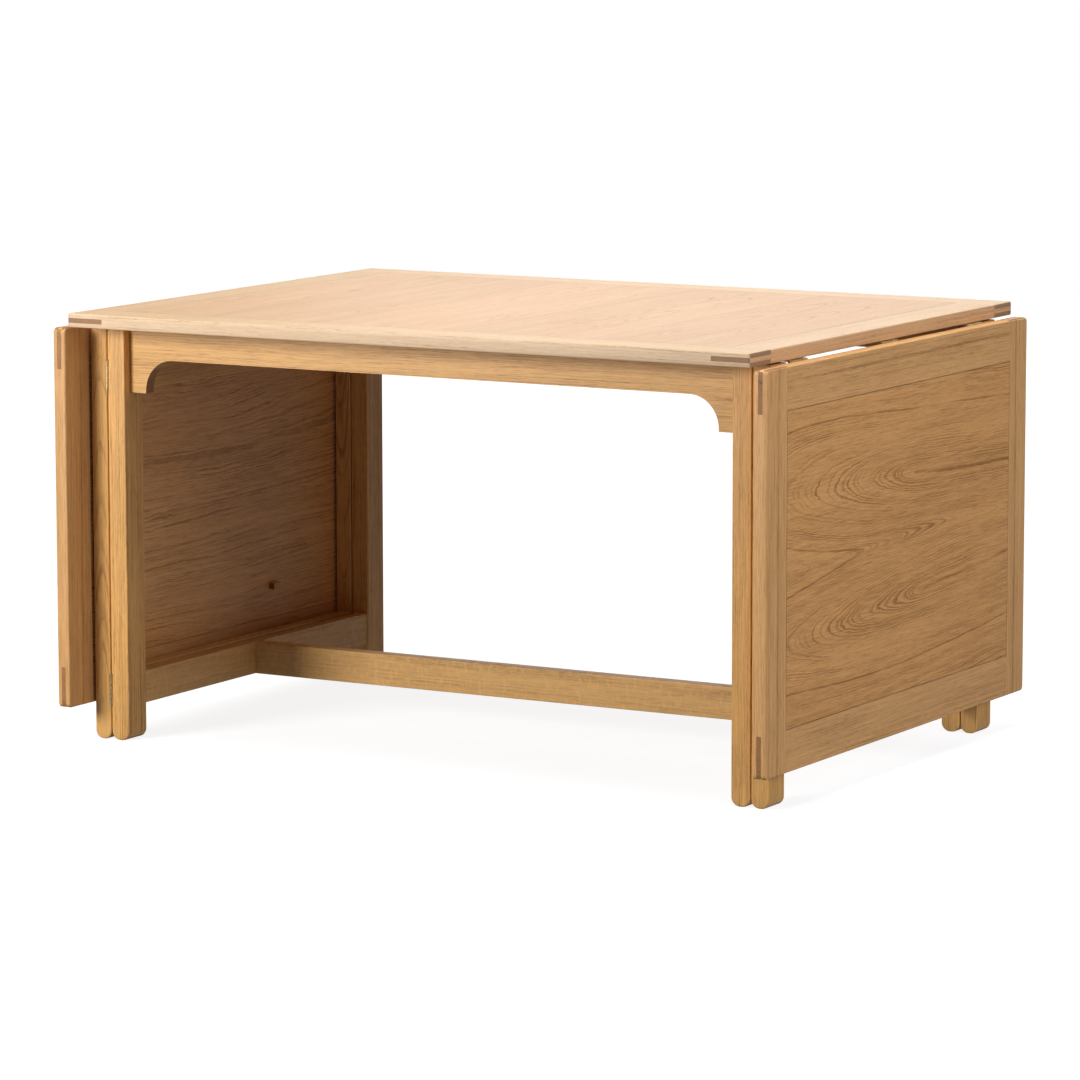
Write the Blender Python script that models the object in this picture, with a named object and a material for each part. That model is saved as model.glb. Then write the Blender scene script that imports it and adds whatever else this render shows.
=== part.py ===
"""A drop leaf table in oak: a framed and veneered top on a base with four legs, and at each end a leaf
that hangs on three butt hinges, outside a folded gate with a leg of its own. The two ends are the same,
turned half round.

Metres, +Z up. The origin is on the floor under the middle of the top, with X along the table and Y from
front to back."""

import math

import bmesh
import bpy
from mathutils import Matrix, Vector

# The whole table
HEIGHT = 0.720
TOP_LENGTH = 1.268
TOP_DEPTH = 0.944
BOARD = 0.023  # thickness of the top and of both leaves
LEAF_LENGTH = 0.635

# The framed boards
MEMBER = 0.068  # width of each frame piece
BRIDLE = 0.008  # thickness of the tenons that show at the corners
TONGUE = 0.006
TONGUE_DEEP = 0.007
TONGUE_SHORT = 0.012  # how far a tongue stops before the panel's corner
CORNER = 0.008  # rounding of a leaf's corners, seen flat
TOP_CORNER = 0.004
ARRIS = 0.0025  # rounding along the edges of the boards

# The base
LEG_INNER = 0.568  # from the middle to a leg's inner face, along X
LEG_THICK = 0.034
LEG_OUTER_Y = 0.405
LEG_DEEP = 0.053
GATE_SPACE = 0.0015  # between a leg and the gate beside it
GATE_THICK = 0.0315
GATE_TOP = 0.695
FOOT_FLAT = 0.004  # width left flat under a foot, between the two rounded sides
LEG_ARRIS = 0.0022
RAIL_LOW = 0.0565
RAIL_TALL = 0.055
RAIL_THICK = 0.025
RAIL_SETBACK = 0.003
UPPER_RAIL_LOW = 0.585
APRON_FACE_Y = 0.389
APRON_THICK = 0.022
APRON_LOW = 0.641
EAR_LOW = 0.5845
EAR_ARC = 0.052
EAR_WIDTH = 0.032
BEARER_X = 0.300
BEARER_WIDE = 0.040
BEARER_LOW = 0.655
RAIL_ARRIS = 0.0018
TENON_LONG = 0.018
TENON_THICK = 0.010
TENON_SHOULDER = 0.009

# The hinges
LEAF_AXIS_OUT = 0.0027  # from the end of the top to the leaf's hinge axis
HINGE_OFFSET = 0.0035  # from that axis to the two faces that its plates lie on
LEAF_ABOVE_AXIS = 0.0013
LEAF_HINGE_LONG = 0.058
LEAF_HINGE_Y = 0.318
LEAF_KNUCKLE = 0.003
LEAF_PLATE = 0.0017
LEAF_PLATE_WIDE = 0.028
GATE_HINGE_LONG = 0.053
GATE_KNUCKLE = 0.003
GATE_PLATE = 0.0014
GATE_PLATE_WIDE = 0.024
PIN = 0.0015
PIN_PLAY = 0.00015
KNUCKLE_GAP = 0.0003
PLATE_GAP = 0.0004  # from the axis to the nearer edge of a plate

# The stop that the gate's leg meets under a raised leaf
STOP_FROM_AXIS = 0.5085
STOP_Y = 0.1487
STOP_SIZE = Vector((0.011, 0.021, 0.011))

GAP = 0.0003  # between pieces that touch
OVER = 0.002  # how far a blank stands past its finished face, and a cutter past what it cuts
ROUND_SIDES = 16

UNDERSIDE = HEIGHT - BOARD
MIDDLE = Vector((0, 0, 0))
LEFT, RIGHT = -1, 1
END_NAME = {LEFT: "left", RIGHT: "right"}

OAK = (0.62, 0.40, 0.20)
PALE_OAK = (0.72, 0.48, 0.28)
DARK_OAK = (0.30, 0.16, 0.07)
BRASS = (0.72, 0.52, 0.22)


def clear_scene():
    for old in list(bpy.data.objects):
        bpy.data.objects.remove(old, do_unlink=True)


def make_collection(name, shown):
    made = bpy.data.collections.new(name)
    bpy.context.scene.collection.children.link(made)
    made.hide_render = not shown
    return made


def make_material(name, colour, roughness, metallic=0.0):
    made = bpy.data.materials.new(name)
    made.use_nodes = True
    shader = made.node_tree.nodes["Principled BSDF"]
    shader.inputs["Base Color"].default_value = (*colour, 1)
    shader.inputs["Roughness"].default_value = roughness
    shader.inputs["Metallic"].default_value = metallic
    return made


clear_scene()
PARTS = make_collection("drop_leaf_table", shown=True)
TOOLS = make_collection("cutters", shown=False)
MATERIALS = {
    "top_oak": make_material("top_oak", OAK, 0.5),
    "top_veneer": make_material("top_veneer", PALE_OAK, 0.5),
    "leaf_oak": make_material("leaf_oak", OAK, 0.5),
    "leaf_veneer": make_material("leaf_veneer", PALE_OAK, 0.5),
    "stop_wood": make_material("stop_wood", DARK_OAK, 0.55),
    "base_oak": make_material("base_oak", OAK, 0.55),
    "gate_oak": make_material("gate_oak", OAK, 0.55),
    "brass": make_material("brass", BRASS, 0.3, metallic=1.0),
}


# Making shapes


def corners(low, high):
    """The true low and high corner of a box given by any two opposite ones."""
    low, high = Vector(low), Vector(high)
    return (
        Vector(min(pair) for pair in zip(low, high)),
        Vector(max(pair) for pair in zip(low, high)),
    )


def turned(side, point):
    """A point of the right end, or the same point of the left end, half a turn round."""
    return Vector((side * point[0], side * point[1], point[2]))


def box_bmesh(size):
    shape = bmesh.new()
    bmesh.ops.create_cube(shape, size=1.0, matrix=Matrix.Diagonal((*size, 1)))
    return shape


def edges_along(shape, axis):
    """The edges that run straight along one axis."""
    others = [n for n in range(3) if n != axis]
    return [
        edge
        for edge in shape.edges
        if all(abs(edge.verts[0].co[n] - edge.verts[1].co[n]) < 1e-7 for n in others)
    ]


def edges_across(shape, axis, places):
    """The edges that lie in a plane across one axis, at one of the given places on it."""
    return [
        edge
        for edge in shape.edges
        if any(all(abs(vert.co[axis] - place) < 1e-7 for vert in edge.verts) for place in places)
    ]


def round_off(shape, edges, radius, segments):
    bmesh.ops.bevel(
        shape,
        geom=edges,
        offset=radius,
        offset_type="OFFSET",
        segments=segments,
        profile=0.5,
        affect="EDGES",
    )


def finish_object(name, shape, middle, collection, material=None, parent=None):
    """Turns a bmesh into an object whose origin is at its middle, under the empty that carries it."""
    mesh = bpy.data.meshes.new(name)
    bmesh.ops.recalc_face_normals(shape, faces=shape.faces)
    shape.to_mesh(mesh)
    shape.free()
    made = bpy.data.objects.new(name, mesh)
    collection.objects.link(made)
    made.location = middle
    if parent:
        made.parent = parent
        made.location = middle - parent.location
    if material:
        mesh.materials.append(MATERIALS[material])
    if collection == TOOLS:
        made.hide_render = True
        made.display_type = "WIRE"
    return made


def make_box(name, low, high, collection, material=None, parent=None):
    low, high = corners(low, high)
    return finish_object(name, box_bmesh(high - low), (low + high) / 2, collection, material, parent)


def make_bar(name, low, high, axis, material, parent=None):
    """A bar with the four edges along its length rounded."""
    low, high = corners(low, high)
    shape = box_bmesh(high - low)
    round_off(shape, edges_along(shape, axis), RAIL_ARRIS, 2)
    return finish_object(name, shape, (low + high) / 2, PARTS, material, parent)


def make_leg(name, low, high, material, parent=None):
    """A leg with its arrises rounded, and a foot that is nearly half round from side to side."""
    low, high = corners(low, high)
    size = high - low
    shape = box_bmesh(size)
    foot = [edge for edge in edges_along(shape, 1) if edge.verts[0].co.z < 0]
    round_off(shape, foot, (size.x - FOOT_FLAT) / 2, 8)
    top = edges_across(shape, 2, [size.z / 2])
    outlines = edges_across(shape, 1, [-size.y / 2, size.y / 2])
    round_off(shape, [edge for edge in outlines if edge not in top], LEG_ARRIS, 2)
    return finish_object(name, shape, (low + high) / 2, PARTS, material, parent)


def make_board_form(name, low, high, axis, corner):
    """The finished outer shape of a framed board, flat across one axis, with its corners and then its
    arrises rounded."""
    low, high = corners(low, high)
    size = high - low
    shape = box_bmesh(size)
    round_off(shape, edges_along(shape, axis), corner, 3)
    faces = [-size[axis] / 2, size[axis] / 2]
    round_off(shape, edges_across(shape, axis, faces), ARRIS, 2)
    return finish_object(name, shape, (low + high) / 2, TOOLS)


def make_rod(name, radius, low, high, place, sides=ROUND_SIDES):
    """A cylinder from low to high along the pin of a hinge, which place puts in the table."""
    shape = bmesh.new()
    bmesh.ops.create_cone(
        shape,
        cap_ends=True,
        segments=sides,
        radius1=radius,
        radius2=radius,
        depth=high - low,
        matrix=place @ Matrix.Translation((0, 0, (low + high) / 2)),
    )
    return finish_object(name, shape, MIDDLE, TOOLS)


def use(piece, other, operation):
    added = piece.modifiers.new(other.name, "BOOLEAN")
    added.operation = operation
    added.object = other


def tool_box(name, low, high, grown=0.0):
    low, high = corners(low, high)
    grow = Vector((grown, grown, grown))
    return make_box(name, low - grow, high + grow, TOOLS)


def add_tenon(piece, host, low, high):
    """A tenon on one piece, and the mortise for it in the other, larger all round by the glue line."""
    name = f"{piece.name}_in_{host.name}"
    use(piece, tool_box(f"{name}_tenon", low, high), "UNION")
    use(host, tool_box(f"{name}_mortise", low, high, GAP), "DIFFERENCE")


def make_axis(name, place):
    """An empty on a joint's axis, which carries what moves about it."""
    made = bpy.data.objects.new(name, None)
    made.empty_display_size = 0.05
    made.location = place
    PARTS.objects.link(made)
    return made


# The framed boards: the top and the leaves


def make_framed_board(names, start, end, half_depth, corner, place, materials, parent=None):
    """A panel in a frame, with bridle joints at the corners. In the board's own axes, the two slotted
    members run along the first from start to end, the two tenoned ones along the second, and the third is
    its thickness. place puts a point in the table, and names gives the slotted, the tenoned and the
    panel's node names."""
    slotted_names, tenoned_names, panel_name = names
    frame_material, panel_material = materials
    inner_start, inner_end = start + MEMBER, end - MEMBER
    inner_side = half_depth - MEMBER
    centre = BOARD / 2

    def placed(low, high):
        return place(Vector(low)), place(Vector(high))

    flat_axis = max(range(3), key=lambda n: abs((place(Vector((0, 0, 1))) - place(MIDDLE))[n]))
    form_low, form_high = placed((start, -half_depth, 0), (end, half_depth, BOARD))
    form = make_board_form(f"{panel_name}_form", form_low, form_high, flat_axis, corner)

    for hand, name in zip((-1, 1), slotted_names):
        low, high = placed(
            (start - OVER, hand * inner_side, -OVER),
            (end + OVER, hand * (half_depth + OVER), BOARD + OVER),
        )
        rail = make_box(name, low, high, PARTS, frame_material, parent)
        slots = ((inner_start, start - 2 * OVER), (inner_end, end + 2 * OVER))
        for number, (near, far) in enumerate(slots):
            low, high = placed(
                (near, hand * (inner_side - OVER), centre - BRIDLE / 2),
                (far, hand * (half_depth + 2 * OVER), centre + BRIDLE / 2),
            )
            use(rail, make_box(f"{name}_slot_{number}", low, high, TOOLS), "DIFFERENCE")
        low, high = placed(
            (inner_start + TONGUE_SHORT - GAP, hand * (inner_side - OVER), centre - TONGUE / 2 - GAP),
            (
                inner_end - TONGUE_SHORT + GAP,
                hand * (inner_side + TONGUE_DEEP + GAP),
                centre + TONGUE / 2 + GAP,
            ),
        )
        use(rail, make_box(f"{name}_groove", low, high, TOOLS), "DIFFERENCE")
        use(rail, form, "INTERSECT")

    for hand, near, far, name in (
        (-1, inner_start, start - OVER, tenoned_names[0]),
        (1, inner_end, end + OVER, tenoned_names[1]),
    ):
        low, high = placed((near, -inner_side + GAP, -OVER), (far, inner_side - GAP, BOARD + OVER))
        rail = make_box(name, low, high, PARTS, frame_material, parent)
        low, high = placed(
            (near + hand * GAP, -half_depth - OVER, centre - BRIDLE / 2 + GAP),
            (far - hand * OVER / 2, half_depth + OVER, centre + BRIDLE / 2 - GAP),
        )
        use(rail, make_box(f"{name}_tenons", low, high, TOOLS), "UNION")
        low, high = placed(
            (near - hand * OVER, -inner_side + TONGUE_SHORT - GAP, centre - TONGUE / 2 - GAP),
            (near + hand * (TONGUE_DEEP + GAP), inner_side - TONGUE_SHORT + GAP, centre + TONGUE / 2 + GAP),
        )
        use(rail, make_box(f"{name}_groove", low, high, TOOLS), "DIFFERENCE")
        use(rail, form, "INTERSECT")

    low, high = placed(
        (inner_start + GAP, -inner_side + GAP, 0),
        (inner_end - GAP, inner_side - GAP, BOARD),
    )
    panel = make_box(panel_name, low, high, PARTS, panel_material, parent)
    for number, (longer, wider) in enumerate(
        ((TONGUE_DEEP, -TONGUE_SHORT), (-TONGUE_SHORT, TONGUE_DEEP))
    ):
        low, high = placed(
            (inner_start - longer, -inner_side - wider, centre - TONGUE / 2),
            (inner_end + longer, inner_side + wider, centre + TONGUE / 2),
        )
        use(panel, make_box(f"{panel_name}_tongue_{number}", low, high, TOOLS), "UNION")


def make_top():
    make_framed_board(
        (
            ("top_front_rail", "top_back_rail"),
            ("top_left_end_rail", "top_right_end_rail"),
            "top_panel",
        ),
        -TOP_LENGTH / 2,
        TOP_LENGTH / 2,
        TOP_DEPTH / 2,
        TOP_CORNER,
        lambda point: Vector((point.x, point.y, UNDERSIDE + point.z)),
        ("top_oak", "top_veneer"),
    )


def make_leaf(side):
    """A hanging leaf. Its own first axis runs down from the hinged edge, and its third outwards from the
    inner face."""
    end = END_NAME[side]
    axis = Vector((side * (TOP_LENGTH / 2 + LEAF_AXIS_OUT), 0, UNDERSIDE - HINGE_OFFSET))
    carrier = make_axis(f"{end}_leaf_axis", axis)
    inner_x = side * (abs(axis.x) + HINGE_OFFSET)
    top_z = axis.z + LEAF_ABOVE_AXIS
    make_framed_board(
        (
            (f"{end}_leaf_front_stile", f"{end}_leaf_back_stile"),
            (f"{end}_leaf_hinge_rail", f"{end}_leaf_outer_rail"),
            f"{end}_leaf_panel",
        ),
        0,
        LEAF_LENGTH,
        TOP_DEPTH / 2,
        CORNER,
        lambda point: Vector((inner_x + side * point.z, point.y, top_z - point.x)),
        ("leaf_oak", "leaf_veneer"),
        carrier,
    )
    middle = Vector((
        inner_x - side * (STOP_SIZE.x / 2 + GAP),
        -side * STOP_Y,
        axis.z - STOP_FROM_AXIS,
    ))
    make_box(
        f"{end}_leaf_stop_block",
        middle - STOP_SIZE / 2,
        middle + STOP_SIZE / 2,
        PARTS,
        "stop_wood",
        carrier,
    )
    for spot, y in (("front", -LEAF_HINGE_Y), ("middle", 0), ("back", LEAF_HINGE_Y)):
        place = Matrix.Translation((axis.x, y, axis.z)) @ hinge_turn(side)
        make_hinge(
            (f"{end}_leaf_{spot}_hinge_top_plate", f"{end}_leaf_{spot}_hinge_leaf_plate"),
            place,
            LEAF_HINGE_LONG,
            LEAF_KNUCKLE,
            (
                (-LEAF_PLATE_WIDE, HINGE_OFFSET - GAP - LEAF_PLATE),
                (-PLATE_GAP, HINGE_OFFSET - GAP),
            ),
            (
                (HINGE_OFFSET - GAP - LEAF_PLATE, -LEAF_PLATE_WIDE),
                (HINGE_OFFSET - GAP, -PLATE_GAP),
            ),
            (None, carrier),
        )


def hinge_turn(side):
    """Turns a hinge's own axes, outwards, up and along the pin, to lie along the end of the table."""
    return Matrix(((side, 0, 0, 0), (0, 0, -side, 0), (0, 1, 0, 0), (0, 0, 0, 1)))


# Hinges


def make_hinge(names, place, length, radius, fixed_plate, moving_plate, parents):
    """A butt hinge with three knuckles. Its own third axis is the pin, and each plate is given by two
    opposite corners across the pin. The fixed half holds the outer knuckles and the pin, the moving half
    the middle one."""
    fixed_name, moving_name = names
    half, inner = length / 2, length / 6
    plates = (
        (fixed_name, fixed_plate, parents[0]),
        (moving_name, moving_plate, parents[1]),
    )
    for name, (low, high), parent in plates:
        fixed = name == fixed_name
        low, high = corners(
            place @ Vector((*low, -half)),
            place @ Vector((*high, half)),
        )
        plate = make_box(name, low, high, PARTS, "brass", parent)
        own = ((-half, -inner), (inner, half)) if fixed else ((-inner, inner),)
        other = ((-inner, inner),) if fixed else ((-half - OVER, -inner), (inner, half + OVER))
        for number, (near, far) in enumerate(other):
            room = make_rod(
                f"{name}_room_{number}",
                radius + PLATE_GAP,
                near - KNUCKLE_GAP,
                far + KNUCKLE_GAP,
                place,
            )
            use(plate, room, "DIFFERENCE")
        for number, (near, far) in enumerate(own):
            knuckle = make_rod(f"{name}_knuckle_{number}", radius, near, far, place)
            use(plate, knuckle, "UNION")
        if fixed:
            pin = make_rod(f"{name}_pin", PIN, -inner - OVER, inner + OVER, place, 12)
            use(plate, pin, "UNION")
        else:
            hole = make_rod(f"{name}_hole", PIN + PIN_PLAY, -half, half, place, 12)
            use(plate, hole, "DIFFERENCE")


# The base


def make_base():
    """The four fixed legs, and what joins them."""
    aprons = {}
    for back, name in ((-1, "front"), (1, "back")):
        low, high = corners(
            (-LEG_INNER + GAP, back * (APRON_FACE_Y - APRON_THICK), EAR_LOW),
            (LEG_INNER - GAP, back * APRON_FACE_Y, UNDERSIDE - GAP),
        )
        apron = make_box(f"{name}_apron", low, high, PARTS, "base_oak")
        half_span = LEG_INNER - EAR_WIDTH
        use(apron, make_arch(f"{name}_arch", half_span, back * APRON_FACE_Y), "DIFFERENCE")
        aprons[back] = apron
    for side in (LEFT, RIGHT):
        for back, name in ((-1, "front"), (1, "back")):
            leg = make_leg(
                f"{name}_{END_NAME[side]}_leg",
                (side * LEG_INNER, back * (LEG_OUTER_Y - LEG_DEEP), 0),
                (side * (LEG_INNER + LEG_THICK), back * LEG_OUTER_Y, UNDERSIDE - GAP),
                "base_oak",
            )
            middle_y = back * (APRON_FACE_Y - APRON_THICK / 2)
            add_tenon(
                aprons[back],
                leg,
                (side * (LEG_INNER - TENON_SHOULDER), middle_y - TENON_THICK / 2, EAR_LOW + TENON_SHOULDER),
                (side * (LEG_INNER + TENON_LONG), middle_y + TENON_THICK / 2, UNDERSIDE - TENON_SHOULDER),
            )
    for side in (LEFT, RIGHT):
        end = END_NAME[side]
        make_end_rails(
            side,
            LEG_INNER + RAIL_SETBACK,
            (f"{end}_lower_end_rail", f"{end}_upper_end_rail"),
            "base_oak",
            (bpy.data.objects[f"front_{end}_leg"], bpy.data.objects[f"back_{end}_leg"]),
        )
    stretcher_end = LEG_INNER + RAIL_SETBACK
    stretcher = make_bar(
        "centre_stretcher",
        (-stretcher_end + GAP, -RAIL_THICK / 2, RAIL_LOW),
        (stretcher_end - GAP, RAIL_THICK / 2, RAIL_LOW + RAIL_TALL),
        0,
        "base_oak",
    )
    for side in (LEFT, RIGHT):
        add_tenon(
            stretcher,
            bpy.data.objects[f"{END_NAME[side]}_lower_end_rail"],
            (side * (stretcher_end - TENON_SHOULDER), -TENON_THICK / 2, RAIL_LOW + TENON_SHOULDER),
            (side * (stretcher_end + TENON_LONG), TENON_THICK / 2, RAIL_LOW + RAIL_TALL - TENON_SHOULDER),
        )
        make_bearer(side, aprons)


def make_arch(name, half_span, face_y):
    """Cuts the opening under an apron, with a quarter round where it meets each ear."""
    size = Vector((2 * half_span, 4 * APRON_THICK, 2 * (APRON_LOW - EAR_LOW)))
    shape = box_bmesh(size)
    upper = [edge for edge in edges_along(shape, 1) if edge.verts[0].co.z > 0]
    round_off(shape, upper, EAR_ARC, 10)
    return finish_object(name, shape, Vector((0, face_y, APRON_LOW - size.z / 2)), TOOLS)


def make_bearer(side, aprons):
    """A cross bearer under the top, from apron to apron, which the top is screwed to."""
    inner_y = APRON_FACE_Y - APRON_THICK
    bearer = make_bar(
        f"{END_NAME[side]}_cross_bearer",
        (side * BEARER_X - BEARER_WIDE / 2, -inner_y + GAP, BEARER_LOW),
        (side * BEARER_X + BEARER_WIDE / 2, inner_y - GAP, UNDERSIDE - GAP),
        1,
        "base_oak",
    )
    for back in (-1, 1):
        add_tenon(
            bearer,
            aprons[back],
            (side * BEARER_X - TENON_THICK, back * (inner_y - TENON_SHOULDER), BEARER_LOW + TENON_SHOULDER),
            (
                side * BEARER_X + TENON_THICK,
                back * (inner_y + APRON_THICK / 2),
                UNDERSIDE - TENON_SHOULDER,
            ),
        )


def make_end_rails(side, inner_x, names, material, legs):
    """The lower and the upper rail between two legs of one end, tenoned into both."""
    leg_y = LEG_OUTER_Y - LEG_DEEP
    middle_x = side * (inner_x + RAIL_THICK / 2)
    for name, rail_low in zip(names, (RAIL_LOW, UPPER_RAIL_LOW)):
        rail = make_bar(
            name,
            (side * inner_x, -leg_y + GAP, rail_low),
            (side * (inner_x + RAIL_THICK), leg_y - GAP, rail_low + RAIL_TALL),
            1,
            material,
        )
        for back, leg in zip((-1, 1), legs):
            # short enough to stay clear of the aprons' tenons, which come into the same legs
            reach = min(TENON_LONG, APRON_FACE_Y - APRON_THICK - leg_y)
            add_tenon(
                rail,
                leg,
                (middle_x - TENON_THICK / 2, back * (leg_y - TENON_SHOULDER), rail_low + TENON_SHOULDER),
                (
                    middle_x + TENON_THICK / 2,
                    back * (leg_y + reach),
                    rail_low + RAIL_TALL - TENON_SHOULDER,
                ),
            )


def make_gate(side):
    """The gate folded against the outer faces of one end's legs, hinged to the leg at the back of the right
    end or at the front of the left one."""
    end = END_NAME[side]
    inner_x = LEG_INNER + LEG_THICK + GATE_SPACE
    posts = {}
    for back, name in ((side, "hinge_post"), (-side, "free_leg")):
        posts[back] = make_leg(
            f"{end}_gate_{name}",
            (side * inner_x, back * (LEG_OUTER_Y - LEG_DEEP), 0),
            (side * (inner_x + GATE_THICK), back * LEG_OUTER_Y, GATE_TOP),
            "gate_oak",
        )
    make_end_rails(
        side,
        inner_x + (GATE_THICK - RAIL_THICK) / 2,
        (f"{end}_gate_lower_rail", f"{end}_gate_upper_rail"),
        "gate_oak",
        (posts[-1], posts[1]),
    )
    leg = bpy.data.objects["back_right_leg" if side == RIGHT else "front_left_leg"]
    seam_x = inner_x - GATE_SPACE / 2
    for spot, rail_low in (("lower", RAIL_LOW), ("upper", UPPER_RAIL_LOW)):
        middle = turned(side, (seam_x, LEG_OUTER_Y, rail_low + RAIL_TALL / 2))
        place = Matrix.Translation(middle) @ Matrix.Diagonal((side, side, 1, 1))
        make_hinge(
            (f"{end}_gate_{spot}_hinge_leg_plate", f"{end}_gate_{spot}_hinge_gate_plate"),
            place,
            GATE_HINGE_LONG,
            GATE_KNUCKLE,
            ((-GAP / 2 - GATE_PLATE, -GATE_PLATE_WIDE), (-GAP / 2, 0)),
            ((GAP / 2, -GATE_PLATE_WIDE), (GAP / 2 + GATE_PLATE, 0)),
            (None, None),
        )
        cut_hinge_seat(f"{end}_gate_{spot}_seat", place, (leg, posts[side]))


def cut_hinge_seat(name, place, pieces):
    """The shallow seat for a gate hinge's plates, and the hollow along the seam for its knuckles."""
    half = GATE_HINGE_LONG / 2 + GAP
    low = place @ Vector((-GATE_PLATE - 1.5 * GAP, -GATE_PLATE_WIDE - GAP, -half))
    high = place @ Vector((GATE_PLATE + 1.5 * GAP, OVER, half))
    seat = make_box(f"{name}_plates", low, high, TOOLS)
    hollow = make_rod(f"{name}_knuckles", GATE_KNUCKLE + PLATE_GAP, -half, half, place)
    for piece in pieces:
        use(piece, seat, "DIFFERENCE")
        use(piece, hollow, "DIFFERENCE")


def shade(smooth_angle):
    for piece in PARTS.objects:
        if piece.type == "MESH":
            piece.data.shade_smooth()
            piece.data.set_sharp_from_angle(angle=smooth_angle)


make_top()
make_base()
for table_end in (LEFT, RIGHT):
    make_gate(table_end)
    make_leaf(table_end)
shade(math.radians(35))
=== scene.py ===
"""The looks of the drop leaf table: oiled oak worked out from growth rings, veneered panels,
brass hinges and their screws, on a plain pale floor in soft studio light.

Every object is in metres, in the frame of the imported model. A CAD node keeps its shape. It only
gets its seams welded for smooth shading, and a material of its own, whose grain runs along the
piece and rides with it."""

import math

import bmesh
import bpy
from mathutils import Matrix, Quaternion, Vector


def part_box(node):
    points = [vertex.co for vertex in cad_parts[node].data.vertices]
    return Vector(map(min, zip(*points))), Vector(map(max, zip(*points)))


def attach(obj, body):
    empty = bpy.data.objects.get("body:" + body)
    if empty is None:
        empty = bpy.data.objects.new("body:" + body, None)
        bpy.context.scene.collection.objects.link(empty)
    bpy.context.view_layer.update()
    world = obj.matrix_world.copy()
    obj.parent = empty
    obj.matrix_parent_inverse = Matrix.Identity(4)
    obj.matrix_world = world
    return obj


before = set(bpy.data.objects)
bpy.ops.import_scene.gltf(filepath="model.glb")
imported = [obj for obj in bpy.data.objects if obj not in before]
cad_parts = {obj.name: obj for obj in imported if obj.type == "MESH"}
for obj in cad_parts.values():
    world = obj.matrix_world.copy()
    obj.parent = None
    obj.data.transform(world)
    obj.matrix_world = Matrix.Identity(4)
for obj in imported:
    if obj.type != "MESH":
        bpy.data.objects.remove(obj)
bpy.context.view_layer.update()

SIDES = {"left": -1, "right": 1}
WHITE = (1, 1, 1)


# Writing node trees


class Nodes:
    """Adds nodes to one tree. A method takes numbers, tuples or other nodes' outputs, and returns
    its own output."""

    def __init__(self, tree):
        self.tree = tree

    def add(self, kind, inputs=None, **settings):
        node = self.tree.nodes.new(kind)
        for name, value in settings.items():
            setattr(node, name, value)
        for key, value in (inputs or {}).items():
            if isinstance(value, bpy.types.NodeSocket):
                self.tree.links.new(value, node.inputs[key])
            else:
                node.inputs[key].default_value = value
        return node

    def link(self, value, shader, name):
        self.tree.links.new(value, shader.inputs[name])

    def calc(self, operation, *values, clamp=False):
        inputs = dict(enumerate(values))
        return self.add("ShaderNodeMath", inputs, operation=operation, use_clamp=clamp).outputs[0]

    def add_up(self, start, *parts):
        """A start, with each part times its share on top of it."""
        for value, share in parts:
            start = self.calc("MULTIPLY_ADD", value, share, start)
        return start

    def off_middle(self, value):
        """How far a value that runs from 0 to 1 is from its middle."""
        return self.calc("SUBTRACT", value, 0.5)

    def vector(self, operation, *values):
        inputs = dict(enumerate(values))
        return self.add("ShaderNodeVectorMath", inputs, operation=operation).outputs[0]

    def scaled(self, vector, factor):
        inputs = {0: vector, "Scale": factor}
        return self.add("ShaderNodeVectorMath", inputs, operation="SCALE").outputs[0]

    def split(self, vector):
        return self.add("ShaderNodeSeparateXYZ", {0: vector}).outputs

    def join(self, x, y, z):
        return self.add("ShaderNodeCombineXYZ", {0: x, 1: y, 2: z}).outputs[0]

    def noise(self, place, per_metre, detail=2.0, roughness=0.5, colour=False):
        """Noise with its own number of features to the metre along each axis."""
        stretched = self.vector("MULTIPLY", place, per_metre)
        inputs = {"Vector": stretched, "Scale": 1.0, "Detail": detail, "Roughness": roughness}
        return self.add("ShaderNodeTexNoise", inputs).outputs["Color" if colour else "Fac"]

    def rise(self, value, low, high, start=0.0, end=1.0):
        """Goes smoothly from start to end as the value goes from low to high."""
        inputs = {
            "Value": value, "From Min": low, "From Max": high, "To Min": start, "To Max": end
        }
        settings = {"interpolation_type": "SMOOTHSTEP"}
        return self.add("ShaderNodeMapRange", inputs, **settings).outputs[0]

    def mix(self, factor, first, second):
        inputs = {0: factor, 6: first, 7: second}
        return self.add("ShaderNodeMix", inputs, data_type="RGBA").outputs[2]

    def use_group(self, group, **inputs):
        return self.add("ShaderNodeGroup", inputs, node_tree=group).outputs


def new_group(name, inputs, outputs):
    """An empty node group, the Nodes that write it, its inputs, and a call that gives its
    results."""
    group = bpy.data.node_groups.new(name, "ShaderNodeTree")
    kinds = {
        "vector": "NodeSocketVector", "number": "NodeSocketFloat", "colour": "NodeSocketColor"
    }
    for direction, sockets in (("INPUT", inputs), ("OUTPUT", outputs)):
        for socket, kind in sockets.items():
            group.interface.new_socket(socket, in_out=direction, socket_type=kinds[kind])
    nodes = Nodes(group)
    source = nodes.add("NodeGroupInput").outputs
    target = nodes.add("NodeGroupOutput").inputs

    def give(**results):
        for socket, value in results.items():
            group.links.new(value, target[socket])

    return group, nodes, source, give


# Oak. Places in it are in grain axes, in metres: first along the grain, second across the show
# face, third into it

# How many features to the metre each layer has, along those three axes
SLOW_BENDS = (1.6, 7.0, 7.0)
QUICK_BENDS = (13.0, 42.0, 42.0)
JAGGED_BENDS = (48.0, 150.0, 150.0)
PATCHES = (5.0, 17.0, 17.0)
STREAKS = (13.0, 420.0, 420.0)
DASHES = (30.0, 620.0, 620.0)
BROAD_BANDS = (2.4, 36.0, 36.0)
FIBRES = (45.0, 1500.0, 1500.0)
PORES = (90.0, 1700.0, 1700.0)
RAY_BENDS = (60.0, 30.0, 30.0)
RAYS = (150.0, 60.0, 60.0)

# How far the finer bends move a place, next to the slow ones
QUICK_SHARE = 0.16
JAGGED_SHARE = 0.055

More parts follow.
